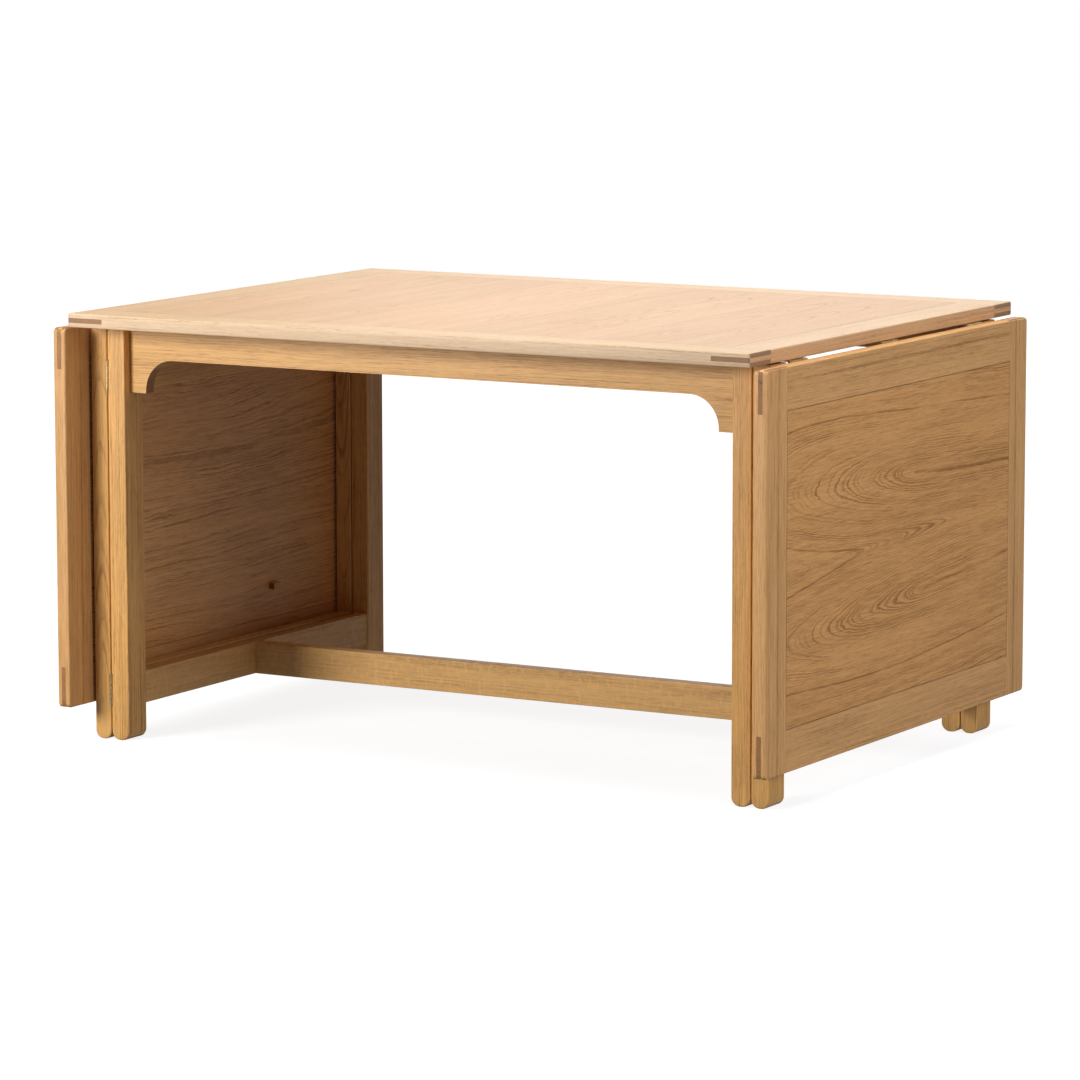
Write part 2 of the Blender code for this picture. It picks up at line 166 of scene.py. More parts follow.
PITH_NEAREST = 0.003
RINGS_UNEVEN = 3.2  # years by which the rings are early or late
RINGS_UNEVEN_PER_YEAR = 0.31

# Between which parts of a year the early wood fades out, and the next year's begins
EARLY_ENDS = (0.05, 0.55)
EARLY_BEGINS = (0.86, 1.0)
WEAKEST_YEAR = 0.12  # of the strongest year's early wood

# Between which values of its noise a layer goes from nothing to all. Where two more numbers
# follow, it goes from the one to the other
PATCH_EDGE = (0.36, 0.60, 0.35, 1.15)
DASH_EDGE = (0.55, 0.68)
PORE_EDGE = (0.56, 0.70)
PORES_IN_YEAR = (0.0, 0.8, 0.25, 1.0)  # by the amount of early wood
RAY_EDGE = (0.56, 0.66)

# How much each layer deepens the tone, which goes from the pale colour at 0 to the dark one at 1
STREAK_SHARE = 1.3
BROAD_SHARE = 0.6
FIBRE_SHARE = 0.5
DASH_SHARE = 0.28
TONE_OFFSET = 0.17

# What the colour that the tone gives is multiplied by or moved towards
PORE_DARKENS = 0.34
RAY_BEND = 0.012  # in metres along the grain
RAY_COVERS = 0.75
RAY_PALE = 1.18
END_GRAIN_TINT = (0.50, 0.42, 0.36)
ARRIS_PALER = 0.10

OAK_ROUGHNESS = 0.42
ROUGHNESS_SHARES = {"tone": 0.10, "pores": 0.12, "rays": -0.08, "end": 0.15, "arris": -0.06}
HEIGHT_SHARES = {"streak": 0.35, "pores": -0.8, "early": -0.3, "rays": 0.15}
PORE_DEPTH = 0.00025
PORE_BUMP = 0.5
OAK_SPECULAR = 0.5


def build_wander():
    """Moves a place across the grain, so that lines along the grain wander as they do in a
    tree."""
    group, nodes, given, give = new_group(
        "oak_wander", {"Place": "vector", "Amount": "number"}, {"Place": "vector"}
    )
    place, amount = given["Place"], given["Amount"]
    slow = nodes.noise(place, SLOW_BENDS, detail=1.0, colour=True)
    quick = nodes.noise(place, QUICK_BENDS, colour=True)
    jagged = nodes.noise(place, JAGGED_BENDS, colour=True)
    half = (0.5, 0.5, 0.5)
    moved = nodes.scaled(nodes.vector("SUBTRACT", slow, half), amount)
    for part, share in ((quick, QUICK_SHARE), (jagged, JAGGED_SHARE)):
        far = nodes.calc("MULTIPLY", amount, share)
        part = nodes.scaled(nodes.vector("SUBTRACT", part, half), far)
        moved = nodes.vector("ADD", moved, part)
    across = nodes.vector("MULTIPLY", moved, (0.0, 1.0, 1.0))
    give(Place=nodes.vector("ADD", place, across))
    return group


def build_log():
    """How far a place is from the pith of the log. The pith is beside the middle and below the
    face. Along the grain it slants to the side, and a tapering log brings it nearer the face,
    down to the least depth."""
    numbers = ("Side", "Depth", "Taper", "Slant")
    group, nodes, given, give = new_group(
        "oak_log",
        {"Place": "vector", **{name: "number" for name in numbers}},
        {"Radius": "number"},
    )
    along, across, deep = nodes.split(given["Place"])
    centre = nodes.calc("MULTIPLY_ADD", along, given["Slant"], given["Side"])
    side = nodes.calc("SUBTRACT", across, centre)
    depth = nodes.calc("MULTIPLY_ADD", along, given["Taper"], given["Depth"])
    depth = nodes.calc("MAXIMUM", nodes.calc("ADD", depth, deep), PITH_NEAREST)
    squares = (nodes.calc("MULTIPLY", side, side), nodes.calc("MULTIPLY", depth, depth))
    give(Radius=nodes.calc("SQRT", nodes.calc("ADD", *squares)))
    return group


def early_wood(nodes, place, radius, ring):
    """How much a place is in the porous early wood of its year. It fades through the summer,
    differs from year to year, and is patchy."""
    years = nodes.calc("DIVIDE", radius, ring)
    inputs = {"W": years, "Scale": RINGS_UNEVEN_PER_YEAR, "Detail": 1.0}
    uneven = nodes.add("ShaderNodeTexNoise", inputs, noise_dimensions="1D").outputs["Fac"]
    years = nodes.add_up(years, (uneven, RINGS_UNEVEN))
    season, year = nodes.calc("FRACT", years), nodes.calc("FLOOR", years)
    vigour = nodes.add("ShaderNodeTexWhiteNoise", {"W": year}, noise_dimensions="1D")
    early = nodes.calc(
        "MAXIMUM",
        nodes.rise(season, *EARLY_ENDS, 1.0, 0.0),
        nodes.rise(season, *EARLY_BEGINS),
    )
    vigour = nodes.rise(vigour.outputs["Value"], 0.0, 1.0, WEAKEST_YEAR, 1.0)
    early = nodes.calc("MULTIPLY", early, vigour)
    return nodes.calc("MULTIPLY", early, nodes.rise(nodes.noise(place, PATCHES), *PATCH_EDGE))


def build_oak():
    """The surface of oak, from a place and its distance from the pith."""
    numbers = ("Radius", "Ring", "Figure", "Rays", "End", "Arris")
    group, nodes, given, give = new_group(
        "oak",
        {"Place": "vector", "Pale": "colour", "Dark": "colour",
         **{name: "number" for name in numbers}},
        {"Colour": "colour", "Roughness": "number", "Height": "number"},
    )
    place = given["Place"]
    early = early_wood(nodes, place, given["Radius"], given["Ring"])
    streak = nodes.noise(place, STREAKS, roughness=0.6)
    dashes = nodes.rise(nodes.noise(place, DASHES, detail=1.0), *DASH_EDGE)
    broad = nodes.noise(place, BROAD_BANDS, detail=1.0)
    fibre = nodes.noise(place, FIBRES, detail=1.0)
    pores = nodes.rise(nodes.noise(place, PORES, detail=0.0), *PORE_EDGE)
    pores = nodes.calc("MULTIPLY", pores, nodes.rise(early, *PORES_IN_YEAR))

    tone = nodes.add_up(
        nodes.calc("MULTIPLY", early, given["Figure"]),
        (nodes.off_middle(streak), STREAK_SHARE),
        (nodes.off_middle(broad), BROAD_SHARE),
        (nodes.off_middle(fibre), FIBRE_SHARE),
        (dashes, DASH_SHARE),
    )
    tone = nodes.calc("ADD", tone, TONE_OFFSET, clamp=True)
    colour = nodes.mix(tone, given["Pale"], given["Dark"])
    colour = nodes.scaled(colour, nodes.add_up(1.0, (pores, -PORE_DARKENS)))

    bend = nodes.calc("MULTIPLY", nodes.noise(place, RAY_BENDS, detail=1.0), RAY_BEND)
    bent = nodes.vector("ADD", place, nodes.join(bend, 0.0, 0.0))
    rays = nodes.rise(nodes.noise(bent, RAYS, detail=1.5, roughness=0.4), *RAY_EDGE)
    rays = nodes.calc("MULTIPLY", rays, given["Rays"])
    pale = nodes.scaled(given["Pale"], RAY_PALE)
    colour = nodes.mix(nodes.calc("MULTIPLY", rays, RAY_COVERS), colour, pale)

    end_colour = nodes.vector("MULTIPLY", colour, END_GRAIN_TINT)
    colour = nodes.mix(given["End"], colour, end_colour)
    colour = nodes.scaled(colour, nodes.add_up(1.0, (given["Arris"], ARRIS_PALER)))

    layers = {
        "tone": tone, "early": early, "streak": streak, "pores": pores, "rays": rays,
        "end": given["End"], "arris": given["Arris"],
    }
    rougher = [(layers[name], share) for name, share in ROUGHNESS_SHARES.items()]
    higher = [(layers[name], share) for name, share in HEIGHT_SHARES.items()]
    give(
        Colour=colour,
        Roughness=nodes.add_up(OAK_ROUGHNESS, *rougher),
        Height=nodes.add_up(0.0, *higher),
    )
    return group


WANDER = build_wander()
LOG = build_log()
OAK = build_oak()


# Materials. Colours are linear


class Look:
    """How the oak of one kind of piece looks: its pale and dark colours, how strong its rings
    are, how wide they are, how far its grain wanders and how much its rays show."""

    def __init__(self, pale, dark, figure=0.5, ring=0.0032, wander=0.012, rays=0.0):
        self.pale, self.dark = pale, dark
        self.figure, self.ring, self.wander, self.rays = figure, ring, wander, rays


BASE_LOOK = Look(
    (0.81, 0.43, 0.120), (0.41, 0.186, 0.038), figure=0.45, ring=0.0030, wander=0.010
)
RAIL_LOOK = Look(
    (0.76, 0.42, 0.130), (0.48, 0.24, 0.062), figure=0.35, ring=0.0030, wander=0.008, rays=0.4
)
# The top's oak is paler and pinker than the leaves', though it is the same wood: these colours
# paint in the sheen and strong top light on the top
TOP_LOOK_PAINTED_SHEEN = Look((0.71, 0.49, 0.290), (0.58, 0.37, 0.195), ring=0.0034)
LEAF_LOOK = Look((0.80, 0.425, 0.147), (0.445, 0.210, 0.056), ring=0.0030, wander=0.010)
STOP_LOOK = Look((0.66, 0.34, 0.085), (0.46, 0.21, 0.045), ring=0.002, wander=0.004)
# Paler than the leaves' veneer in the same way, a painted sheen and top light
TOP_VENEER_PAINTED_SHEEN = Look(
    (0.69, 0.438, 0.252), (0.58, 0.345, 0.182), figure=0.55, ring=0.0038, wander=0.014
)
LEAF_VENEER = Look(
    (0.80, 0.400, 0.122), (0.41, 0.174, 0.038), figure=0.88, ring=0.0030, wander=0.032
)
FLAME_VENEER = Look(
    (0.88, 0.46, 0.150), (0.44, 0.195, 0.046), figure=0.6, ring=0.0042, wander=0.050
)

# How squarely a face looks along an axis, from where a mask starts to where it is whole
END_FACING = (0.55, 0.80)
ARRIS_FACING = (0.88, 0.985)
SHEEN_FREE_FACING = (0.35, 0.75)

# The deeper colour of the upright sides of the top's end rails, whose flat face keeps the pale
# colour of the painted sheen
END_RAIL_SIDES_UNDER_SHEEN = (0.98, 0.86, 0.70)
TONGUE_SHOWN = 0.0073  # how far a panel's box reaches past its face, by the tongue in the frame
BORDER_LINE = 0.0016
BORDER_CORE = 0.4  # of the line, dark all through
BORDER_DARKENS = 0.55

TOP_STRIP = 0.1258  # width of a strip of the top's veneer
TOP_STRIP_SEED = 3.0
STRIP_SHIFT = 5.0  # how far apart along the log two strips can come from
STRIP_APART = 0.31
STRIP_PITH_RANGE = 0.16
STRIP_PITH_DEPTH = 0.055
STRIP_TAPER = 0.045
STRIP_TONE_RANGE = 0.10
SEAM_OUTER, SEAM_INNER = 0.0003, 0.0011  # from the middle of a seam
SEAM_DARKENS = 0.26

# Where each heart of a crown cut veneer lies across the panel, its slant, its depth and how
# fast the log narrows
RIGHT_HEARTS = ((0.481, -0.052, 0.014, -0.135), (0.285, 0.067, 0.010, -0.150))
LEFT_HEARTS = ((1.10, 0.03, 0.75, 0.0),)
RIGHT_VENEER_SEED = 41
LEFT_VENEER_SEED = 57
HEARTS_BLEND = 0.035

BRASS_PALE = (0.78, 0.55, 0.24, 1)
BRASS_DEEP = (0.60, 0.40, 0.16, 1)
BRASS_BRUSHED = (900.0, 900.0, 120.0)
BRUSHED_EDGE = (0.3, 0.7)
BRASS_TARNISH = (90.0, 90.0, 40.0)
TARNISH_EDGE = (0.35, 0.7)
BRASS_ROUGHNESS = (0.24, 0.40)
BRASS_BUMP = 0.3
BRASS_DEPTH = 0.00008


def new_material(name):
    """A material, the Nodes that write its tree, and its Principled shader."""
    made = bpy.data.materials.new(name)
    made.use_nodes = True
    return made, Nodes(made.node_tree), made.node_tree.nodes["Principled BSDF"]


def axis_numbers(axes):
    return ["XYZ".index(axis) for axis in axes]


def seed_offset(seed):
    """Somewhere else in the wood for each seed, so that no two pieces are the same."""
    return Vector((seed * 1.37, seed * 0.71, seed * 0.43))


def grain_axes(nodes, axes, seed=0):
    """A place in grain axes, and the masks of end grain and of rounded arrises. axes names the
    table's axes that run along the grain, across the face and into it, such as XYZ."""
    source = nodes.add("ShaderNodeTexCoord").outputs
    places = nodes.split(source["Object"])
    numbers = axis_numbers(axes)
    place = nodes.join(*(places[number] for number in numbers))
    facing = nodes.split(nodes.vector("ABSOLUTE", source["Normal"]))
    widest = nodes.calc("MAXIMUM", facing[0], nodes.calc("MAXIMUM", facing[1], facing[2]))
    return (
        nodes.vector("ADD", place, seed_offset(seed)),
        nodes.rise(facing[numbers[0]], *END_FACING),
        nodes.rise(widest, *ARRIS_FACING, 1.0, 0.0),
    )


def grain_drift(nodes, place, look):
    """How far the grain wanders from its straight line."""
    moved = nodes.use_group(WANDER, Place=place, Amount=look.wander)["Place"]
    return nodes.vector("SUBTRACT", moved, place)


def from_pith(nodes, place, side, depth, taper, slant=0.0):
    inputs = {"Place": place, "Side": side, "Depth": depth, "Taper": taper, "Slant": slant}
    return nodes.use_group(LOG, **inputs)["Radius"]


def finish_oak(nodes, shader, look, place, radius, end, arris, tone=1.0):
    """Links the oak of a look to the shader."""
    pale, dark = ((*(part * tone for part in colour), 1) for colour in (look.pale, look.dark))
    surface = nodes.use_group(
        OAK,
        Place=place,
        Radius=radius,
        Ring=look.ring,
        Pale=pale,
        Dark=dark,
        Figure=look.figure,
        Rays=look.rays,
        End=end,
        Arris=arris,
    )
    inputs = {"Height": surface["Height"], "Strength": PORE_BUMP, "Distance": PORE_DEPTH}
    nodes.link(surface["Colour"], shader, "Base Color")
    nodes.link(surface["Roughness"], shader, "Roughness")
    nodes.link(nodes.add("ShaderNodeBump", inputs).outputs[0], shader, "Normal")
    shader.inputs["Specular IOR Level"].default_value = OAK_SPECULAR


def linked_colour(shader):
    return shader.inputs["Base Color"].links[0].from_socket


def deepen_sides_under_painted_sheen(nodes, shader, tint):
    """Gives the faces that stand upright a deeper colour than the face that lies flat, which
    keeps the pale colour of the painted sheen.
    """
    facing = nodes.split(nodes.add("ShaderNodeTexCoord").outputs["Normal"])
    upright = nodes.rise(nodes.calc("ABSOLUTE", facing[2]), *SHEEN_FREE_FACING, 1.0, 0.0)
    colour = linked_colour(shader)
    deeper = nodes.vector("MULTIPLY", colour, tint)
    nodes.link(nodes.mix(upright, colour, deeper), shader, "Base Color")


def darken_border(nodes, shader, node, axes):
    """A thin dark line around a panel, where it meets its frame."""
    low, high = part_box(node)
    middle, half = (low + high) / 2, (high - low) / 2
    place = nodes.split(nodes.add("ShaderNodeTexCoord").outputs["Object"])
    from_edge = []
    for axis in axis_numbers(axes):
        away = nodes.calc("ABSOLUTE", nodes.calc("SUBTRACT", place[axis], middle[axis]))
        from_edge.append(nodes.calc("SUBTRACT", half[axis] - TONGUE_SHOWN, away))
    nearest = nodes.calc("MINIMUM", *from_edge)
    line = nodes.rise(
        nearest, BORDER_LINE * BORDER_CORE, BORDER_LINE, 1.0 - BORDER_DARKENS, 1.0
    )
    nodes.link(nodes.scaled(linked_colour(shader), line), shader, "Base Color")


def make_board_oak(
    name, axes, look, seed, side, depth, middle, taper=0.0, tone=1.0, tint=None
):
    """Oak sawn from a log whose pith passes beside and below the middle of the piece."""
    made, nodes, shader = new_material(name)
    place, end, arris = grain_axes(nodes, axes, seed)
    own_middle = Vector(middle[number] for number in axis_numbers(axes))
    local = nodes.vector("SUBTRACT", place, seed_offset(seed) + own_middle)
    local = nodes.vector("ADD", local, grain_drift(nodes, place, look))
    radius = from_pith(nodes, local, side, depth, taper)
    finish_oak(nodes, shader, look, place, radius, end, arris, tone)
    # Upright faces deeper than the flat face, whose paler colour is a painted sheen
    if tint:
        deepen_sides_under_painted_sheen(nodes, shader, tint)
    return made


def make_top_veneer(name, look):
    """Strips of veneer laid side by side, each a little different, with their grain from front
    to back."""
    made, nodes, shader = new_material(name)
    place, end, arris = grain_axes(nodes, "YXZ")
    along, across, _ = nodes.split(place)
    strips = nodes.calc("ADD", nodes.calc("DIVIDE", across, TOP_STRIP), 0.5)
    number = nodes.calc("FLOOR", strips)
    within = nodes.off_middle(nodes.calc("FRACT", strips))
    within = nodes.calc("MULTIPLY", within, TOP_STRIP)
    seeded = nodes.calc("ADD", number, TOP_STRIP_SEED)
    pick = nodes.add("ShaderNodeTexWhiteNoise", {"W": seeded}, noise_dimensions="1D")
    shift, beside, own_tone = nodes.split(pick.outputs["Color"])
    own = nodes.join(
        nodes.add_up(along, (shift, STRIP_SHIFT)),
        within,
        nodes.calc("MULTIPLY", number, STRIP_APART),
    )
    face = nodes.join(along, within, 0.0)
    face = nodes.vector("ADD", face, grain_drift(nodes, own, look))
    side = nodes.calc("MULTIPLY", nodes.off_middle(beside), STRIP_PITH_RANGE)
    radius = from_pith(nodes, face, side, STRIP_PITH_DEPTH, STRIP_TAPER)
    finish_oak(nodes, shader, look, own, radius, end, arris)
    edge = TOP_STRIP / 2
    seam = nodes.rise(nodes.calc("ABSOLUTE", within), edge - SEAM_INNER, edge - SEAM_OUTER)
    tone = nodes.add_up(
        1.0, (nodes.off_middle(own_tone), STRIP_TONE_RANGE), (seam, -SEAM_DARKENS)
    )
    nodes.link(nodes.scaled(linked_colour(shader), tone), shader, "Base Color")
    darken_border(nodes, shader, "top_panel", "XY")
    return made


def make_crown_veneer(name, look, seed, node, hearts):
    """Crown cut veneer, in which the rings come to the face in long loops about each heart."""
    made, nodes, shader = new_material(name)
    place, end, arris = grain_axes(nodes, "YZX", seed)
    local = nodes.vector("SUBTRACT", place, seed_offset(seed))
    flat = nodes.vector("MULTIPLY", local, (1.0, 1.0, 0.0))
    face = nodes.vector("ADD", flat, grain_drift(nodes, place, look))
    radius, *others = (
        from_pith(nodes, face, side, depth, taper, slant) for side, slant, depth, taper in hearts
    )
    for other in others:
        radius = nodes.calc("SMOOTH_MIN", radius, other, HEARTS_BLEND)
    finish_oak(nodes, shader, look, place, radius, end, arris)
    darken_border(nodes, shader, node, "YZ")
    return made


def make_brass(name):
    """Brushed brass, a little tarnished."""
    made, nodes, shader = new_material(name)
    place = nodes.add("ShaderNodeTexCoord").outputs["Object"]
    brushed = nodes.noise(place, BRASS_BRUSHED)
    tarnish = nodes.rise(nodes.noise(place, BRASS_TARNISH, detail=3.0), *TARNISH_EDGE)
    inputs = {"Height": brushed, "Strength": BRASS_BUMP, "Distance": BRASS_DEPTH}
    nodes.link(nodes.mix(tarnish, BRASS_PALE, BRASS_DEEP), shader, "Base Color")
    nodes.link(nodes.rise(brushed, *BRUSHED_EDGE, *BRASS_ROUGHNESS), shader, "Roughness")
    nodes.link(nodes.add("ShaderNodeBump", inputs).outputs[0], shader, "Normal")
    shader.inputs["Metallic"].default_value = 1.0
    return made


# Which oak each node is


def plan_pieces():
    """The material of every wooden node, as a function and its arguments. A board's are the axes
    of its grain, its look, and how far beside and below it the pith of its log passed."""
    plan = {}

    def board(node, axes, look, side, depth, **more):
        low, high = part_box(node)
        more["middle"] = (low + high) / 2
        plan[node] = (make_board_oak, (axes, look, len(plan) + 1, side, depth), more)

    for row in ("front", "back"):
        board(f"top_{row}_rail", "XYZ", TOP_LOOK_PAINTED_SHEEN, 0.25, 0.20, tone=1.04)
        board(f"{row}_apron", "XZY", BASE_LOOK, 0.30, 0.10, taper=0.02, tone=0.92)
    for end, side in SIDES.items():
        # The top's end rails keep the painted sheen on their flat face only
        tint = {"tone": 1.02, "tint": END_RAIL_SIDES_UNDER_SHEEN}
        board(f"top_{end}_end_rail", "YXZ", TOP_LOOK_PAINTED_SHEEN, side * 0.25, 0.14, **tint)
        board(f"{end}_cross_bearer", "YXZ", BASE_LOOK, 0.20, 0.10)
        board(f"{end}_lower_end_rail", "YZX", RAIL_LOOK, 0.05, 0.25)
        board(f"{end}_upper_end_rail", "YZX", BASE_LOOK, 0.25, 0.10)
        board(f"{end}_gate_lower_rail", "YZX", BASE_LOOK, 0.20, 0.08)
        board(f"{end}_gate_upper_rail", "YZX", BASE_LOOK, 0.22, 0.10)
        stile = {"taper": 0.01, "tone": 0.90 if end == "left" else 1.0}
        for row, back in (("front", -1), ("back", 1)):
            board(f"{row}_{end}_leg", "ZXY", BASE_LOOK, -side * 0.22, 0.09, taper=0.01)
            board(f"{end}_leaf_{row}_stile", "ZYX", LEAF_LOOK, -back * 0.30, 0.12, **stile)
        post, leg = ({"taper": taper, "tone": 0.96} for taper in (0.045, -0.040))
        board(f"{end}_gate_hinge_post", "ZXY", BASE_LOOK, 0.004, 0.07, **post)
        board(f"{end}_gate_free_leg", "ZXY", BASE_LOOK, -0.004, 0.07, **leg)
        board(f"{end}_leaf_hinge_rail", "YZX", LEAF_LOOK, -0.28, 0.12)
        board(f"{end}_leaf_outer_rail", "YZX", LEAF_LOOK, -0.24, 0.10)
        board(f"{end}_leaf_stop_block", "YZX", STOP_LOOK, 0.05, 0.05)
    board("centre_stretcher", "XZY", RAIL_LOOK, 0.06, 0.25)
    plan["top_panel"] = (make_top_veneer, (TOP_VENEER_PAINTED_SHEEN,), {})
    for node, look, seed, hearts in (
        ("right_leaf_panel", LEAF_VENEER, RIGHT_VENEER_SEED, RIGHT_HEARTS),
        ("left_leaf_panel", FLAME_VENEER, LEFT_VENEER_SEED, LEFT_HEARTS),
    ):
        plan[node] = (make_crown_veneer, (look, seed, node, hearts), {})
    return plan


WELD_REACH = 0.00001
SOFT_EDGE = math.radians(50)
FLAT_FACES_WEIGHT = 100


def weld_group():
    """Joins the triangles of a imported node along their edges, and marks the edges that stay
    sharp."""
    group = bpy.data.node_groups.new("weld_and_smooth", "GeometryNodeTree")
    for direction in ("INPUT", "OUTPUT"):
        group.interface.new_socket(
            "Geometry", in_out=direction, socket_type="NodeSocketGeometry"
        )
    nodes = Nodes(group)
    shape = nodes.add("NodeGroupInput").outputs[0]
    for attribute in ("custom_normal", "sharp_edge", "sharp_face"):
        inputs = {"Geometry": shape, "Name": attribute}
        shape = nodes.add("GeometryNodeRemoveAttribute", inputs).outputs[0]
    inputs = {"Geometry": shape, "Distance": WELD_REACH}
    shape = nodes.add("GeometryNodeMergeByDistance", inputs).outputs[0]
    angle = nodes.add("GeometryNodeInputMeshEdgeAngle").outputs["Unsigned Angle"]
    soft = nodes.add("FunctionNodeCompare", {0: angle, 1: SOFT_EDGE}, operation="LESS_EQUAL")
    for smooth, domain in ((True, "FACE"), (soft.outputs[0], "EDGE")):
        inputs = {0: shape, 2: smooth}
        shape = nodes.add("GeometryNodeSetShadeSmooth", inputs, domain=domain).outputs[0]
    group.links.new(shape, nodes.add("NodeGroupOutput").inputs[0])
    return group


def smooth_nodes():
    group = weld_group()
    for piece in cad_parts.values():
        piece.modifiers.new("weld", "NODES").node_group = group
        flat = piece.modifiers.new("flat_faces", "WEIGHTED_NORMAL")
        flat.mode = "FACE_AREA"
        flat.weight = FLAT_FACES_WEIGHT
        flat.keep_sharp = True


def dress_nodes():
    """Gives every node its oak, or else the brass, which is also returned."""
    brass = make_brass("brass_hinge")
    plan = plan_pieces()
    for node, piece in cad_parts.items():
        piece.data.materials.clear()
        if node in plan:
            make, settings, more = plan[node]
            piece.data.materials.append(make(f"oak_{node}", *settings, **more))
        else:
            piece.data.materials.append(brass)
    return brass


# Screws


PLATE_THICK = 0.0017
HEAD_SIDES = 28
HEAD_RADIUS = 0.0032
HEAD_PROUD = 0.0003
HEAD_DEEP = 0.001
RIM_SHARE = 0.86  # of the head's radius, where its flat top ends
SHANK_SHARE = 0.6
RECESS_LONG = 0.0034
RECESS_WIDE = 0.0008
RECESS_DEEP = 0.0009
RECESS_NARROWS = 0.8
FIRST_TURN, NEXT_TURN = 0.4, 1.1  # so that no two recesses are in line
SCREW_SOFT_EDGE = math.radians(35)
SCREW_INSET = 0.011  # from the edge of a hinge plate

# Where the screws are: along a hinge plate, as shares of its length from its middle, and along a
# cross bearer, as shares of how far it reaches
PLATE_ROW = (-0.36, 0.0, 0.36)
BEARER_ROW = (-0.72, -0.24, 0.24, 0.72)


def head_mesh():
    """A countersunk screw head with a cross recess, its face up the third axis and the origin
    on the face around it."""
    shape = bmesh.new()

    def loop(points):
        made = [shape.verts.new(point) for point in points]
        return [shape.edges.new(pair) for pair in zip(made, made[1:] + made[:1])]

    def draw_out(edges, scale, height):
        """Extrudes a loop to another size and height, and returns its new edges."""
        made = bmesh.ops.extrude_edge_only(shape, edges=edges)["geom"]
        for vert in (item for item in made if isinstance(item, bmesh.types.BMVert)):
            vert.co = Vector((vert.co.x * scale, vert.co.y * scale, height))
        return [item for item in made if isinstance(item, bmesh.types.BMEdge)]

    turns = (2 * math.pi * n / HEAD_SIDES for n in range(HEAD_SIDES))
    rim = loop(
        Vector((math.cos(turn), math.sin(turn), 0)) * HEAD_RADIUS * RIM_SHARE
        + Vector((0, 0, HEAD_PROUD))
        for turn in turns
    )
    far, near = RECESS_LONG / 2, RECESS_WIDE / 2
    arm = ((far, -near), (far, near), (near, near))
    cross = loop(
        Vector((*(Matrix.Rotation(math.pi / 2 * quarter, 2) @ Vector(point)), HEAD_PROUD))
        for quarter in range(4)
        for point in arm
    )
    bmesh.ops.triangle_fill(
        shape, edges=rim + cross, use_beauty=True, use_dissolve=False
    )
    bottom = draw_out(cross, RECESS_NARROWS, HEAD_PROUD - RECESS_DEEP)
    bmesh.ops.contextual_create(shape, geom=bottom)
    brim = draw_out(rim, 1 / RIM_SHARE, 0.0)
    bmesh.ops.contextual_create(shape, geom=draw_out(brim, SHANK_SHARE, -HEAD_DEEP))
    bmesh.ops.recalc_face_normals(shape, faces=shape.faces)
    return shape


def screw_set(name, places, body, material):
    """Screw heads as one piece: each place is where a head's centre is, and the way it faces."""
    whole = bmesh.new()
    for number, (centre, facing) in enumerate(places):
        head = head_mesh()
        turn = Matrix.Rotation(FIRST_TURN + NEXT_TURN * number, 4, "Z")
        upright = facing.to_track_quat("Z", "Y").to_matrix().to_4x4()
        head.transform(Matrix.Translation(centre) @ upright @ turn)
        mesh = bpy.data.meshes.new("head")
        head.to_mesh(mesh)
        head.free()
        whole.from_mesh(mesh)
        bpy.data.meshes.remove(mesh)
    mesh = bpy.data.meshes.new(name)
    whole.to_mesh(mesh)
    whole.free()
    mesh.materials.append(material)
    mesh.shade_smooth()
    mesh.set_sharp_from_angle(angle=SCREW_SOFT_EDGE)
    made = bpy.data.objects.new(name, mesh)
    bpy.context.scene.collection.objects.link(made)
    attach(made, body)


def add_hinge_screws(material):
    """Three screws through each plate of a leaf's hinges, on the side away from the wood."""
    for end, side in SIDES.items():
        for spot in ("front", "middle", "back"):
            low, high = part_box(f"{end}_leaf_{spot}_hinge_top_plate")
            middle, long = (low.y + high.y) / 2, high.y - low.y
            rows = [middle + long * share for share in PLATE_ROW]
            x, z = (low.x if side > 0 else high.x) + side * SCREW_INSET, high.z - PLATE_THICK
            screw_set(
                f"{end}_leaf_{spot}_hinge_top_screws",
                [(Vector((x, y, z)), Vector((0, 0, -1))) for y in rows],
                "table",
                material,
            )
            low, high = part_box(f"{end}_leaf_{spot}_hinge_leaf_plate")
            x, z = (high.x if side > 0 else low.x) - side * PLATE_THICK, low.z + SCREW_INSET
            screw_set(
                f"{end}_leaf_{spot}_hinge_leaf_screws",
                [(Vector((x, y, z)), Vector((-side, 0, 0))) for y in rows],
                f"{end}_leaf",
                material,
            )


def add_bearer_screws(material):
    """The screws that hold the top, up through the cross bearers."""
    for end in SIDES:
        low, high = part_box(f"{end}_cross_bearer")
        x = (low.x + high.x) / 2
        screw_set(
            f"{end}_cross_bearer_screws",
            [(Vector((x, share * high.y, low.z)), Vector((0, 0, -1))) for share in BEARER_ROW],
            "table",
            material,
        )


# The studio


CAMERA_PLACE = Vector((4.2937, -7.4460, 1.5626))
CAMERA_AZIMUTH = math.radians(30.0227)
CAMERA_TILT = math.radians(8.1683)
CAMERA_ROLL = -0.0014
CAMERA_LENS = 172.98
CAMERA_SENSOR = 36.0
CAMERA_NEAREST = 0.1

FLOOR_REACH = 120.0
FLOOR_DROP = 0.0002  # so that no foot shares a plane with it
PAPER_GRAIN = (400.0, 400.0, 400.0)
PAPER_DEEP = (0.26, 0.26, 0.26, 1)
PAPER_PALE = (0.30, 0.30, 0.30, 1)
PAPER_ROUGHNESS = 0.9
# The paper's painted glow stands in for light on it, and rises between these distances to these
# strengths
PAPER_GLOW_RISES = (1.2, 4.0)  # how far out from the middle of the table
PAPER_PAINTED_GLOW = (0.86, 1.0)

FLOOR_GLOW = 0.22  # of the lower half of the world
SKY_GLOW = 0.02
HORIZON = 0.02
COOL_FLOOR = (0.94, 1.0, 1.20)
COOL_LIGHT = (0.98, 1.0, 1.10)

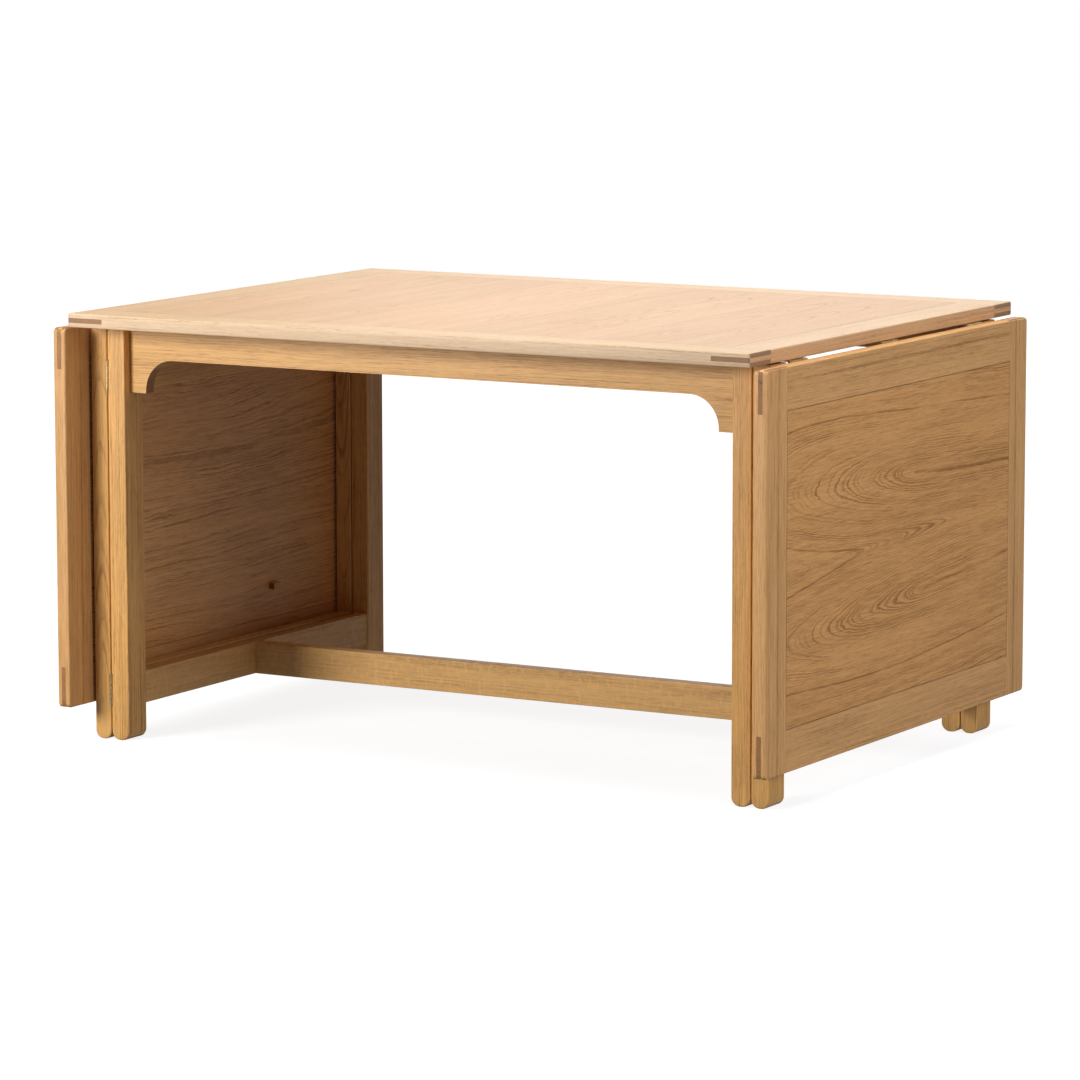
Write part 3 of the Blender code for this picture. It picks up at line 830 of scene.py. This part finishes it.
# Where each light is, how wide and how high it is, its power in watts and its colour
LIGHT_AIM = Vector((0, 0, 0.45))
LIGHTS = {
    "key_light": ((-1.65, -3.2, 1.28), 1.1, 1.1, 105, WHITE),
    "side_light": ((4.5, -0.9, 1.5), 2.5, 2.5, 93, COOL_LIGHT),
    "top_light": ((0.0, 0.0, 3.5), 3.0, 2.4, 116, WHITE),
    "back_light": ((-1.0, 6.5, 2.6), 7.0, 2.6, 95, WHITE),
}


def make_camera():
    data = bpy.data.cameras.new("camera")
    data.lens = CAMERA_LENS
    data.sensor_width = CAMERA_SENSOR
    data.clip_start, data.clip_end = CAMERA_NEAREST, 4 * FLOOR_REACH
    camera = bpy.data.objects.new("camera", data)
    bpy.context.scene.collection.objects.link(camera)
    camera.location = CAMERA_PLACE
    looking = Vector((
        -math.sin(CAMERA_AZIMUTH) * math.cos(CAMERA_TILT),
        math.cos(CAMERA_AZIMUTH) * math.cos(CAMERA_TILT),
        -math.sin(CAMERA_TILT),
    ))
    level = looking.to_track_quat("-Z", "Y")
    camera.rotation_mode = "QUATERNION"
    camera.rotation_quaternion = level @ Quaternion((0, 0, 1), CAMERA_ROLL)
    bpy.context.scene.camera = camera


def make_softbox(name, place, width, height, power, colour):
    data = bpy.data.lights.new(name, "AREA")
    data.shape = "RECTANGLE"
    data.size, data.size_y = width, height
    data.energy = power
    data.color = colour
    light = bpy.data.objects.new(name, data)
    bpy.context.scene.collection.objects.link(light)
    light.location = place
    light.rotation_mode = "QUATERNION"
    light.rotation_quaternion = (LIGHT_AIM - Vector(place)).to_track_quat("-Z", "Y")
    light.visible_camera = False


def make_floor():
    """A floor of seamless white paper. It catches the table's shadow, and only the camera sees
    it: the light that a white floor sends up comes from the lower half of the world instead,
    evenly. The paper glows, a painted light that keeps it white: a little less near the table,
    where its shadow falls and the lamps light it, and fully further out."""
    made, nodes, shader = new_material("floor_paper")
    place = nodes.add("ShaderNodeTexCoord").outputs["Object"]
    away = nodes.add("ShaderNodeVectorMath", {0: place}, operation="LENGTH").outputs["Value"]
    paper = nodes.mix(nodes.noise(place, PAPER_GRAIN), PAPER_DEEP, PAPER_PALE)
    nodes.link(paper, shader, "Base Color")
    # Painted light: the paper glows, a little less near the table and fully further out
    painted_glow = nodes.rise(away, *PAPER_GLOW_RISES, *PAPER_PAINTED_GLOW)
    nodes.link(painted_glow, shader, "Emission Strength")
    shader.inputs["Emission Color"].default_value = (*WHITE, 1)
    shader.inputs["Roughness"].default_value = PAPER_ROUGHNESS
    shader.inputs["Specular IOR Level"].default_value = 0.0
    shape = bmesh.new()
    bmesh.ops.create_grid(shape, x_segments=1, y_segments=1, size=FLOOR_REACH)
    mesh = bpy.data.meshes.new("floor")
    shape.to_mesh(mesh)
    shape.free()
    mesh.materials.append(made)
    floor = bpy.data.objects.new("floor", mesh)
    bpy.context.scene.collection.objects.link(floor)
    floor.location = (0, 0, -FLOOR_DROP)
    floor.visible_diffuse = False
    floor.visible_glossy = False


def make_world():
    """White where the camera looks past the floor. It lights the table nearly all from below,
    as the floor would."""
    world = bpy.data.worlds.new("studio")
    world.use_nodes = True
    nodes = Nodes(world.node_tree)
    height = nodes.split(nodes.add("ShaderNodeTexCoord").outputs["Generated"])[2]
    glow = nodes.rise(height, -HORIZON, HORIZON, FLOOR_GLOW, SKY_GLOW)
    seen = nodes.add("ShaderNodeLightPath").outputs["Is Camera Ray"]
    background = world.node_tree.nodes["Background"]
    nodes.link(nodes.mix(seen, (*COOL_FLOOR, 1), (*WHITE, 1)), background, "Color")
    nodes.link(nodes.calc("MAXIMUM", seen, glow), background, "Strength")
    bpy.context.scene.world = world


def make_studio():
    make_floor()
    make_world()
    for name, settings in LIGHTS.items():
        make_softbox(name, *settings)
    bpy.context.scene.view_settings.view_transform = "Standard"


smooth_nodes()
BRASS = dress_nodes()
add_hinge_screws(BRASS)
add_bearer_screws(BRASS)
make_studio()
make_camera()
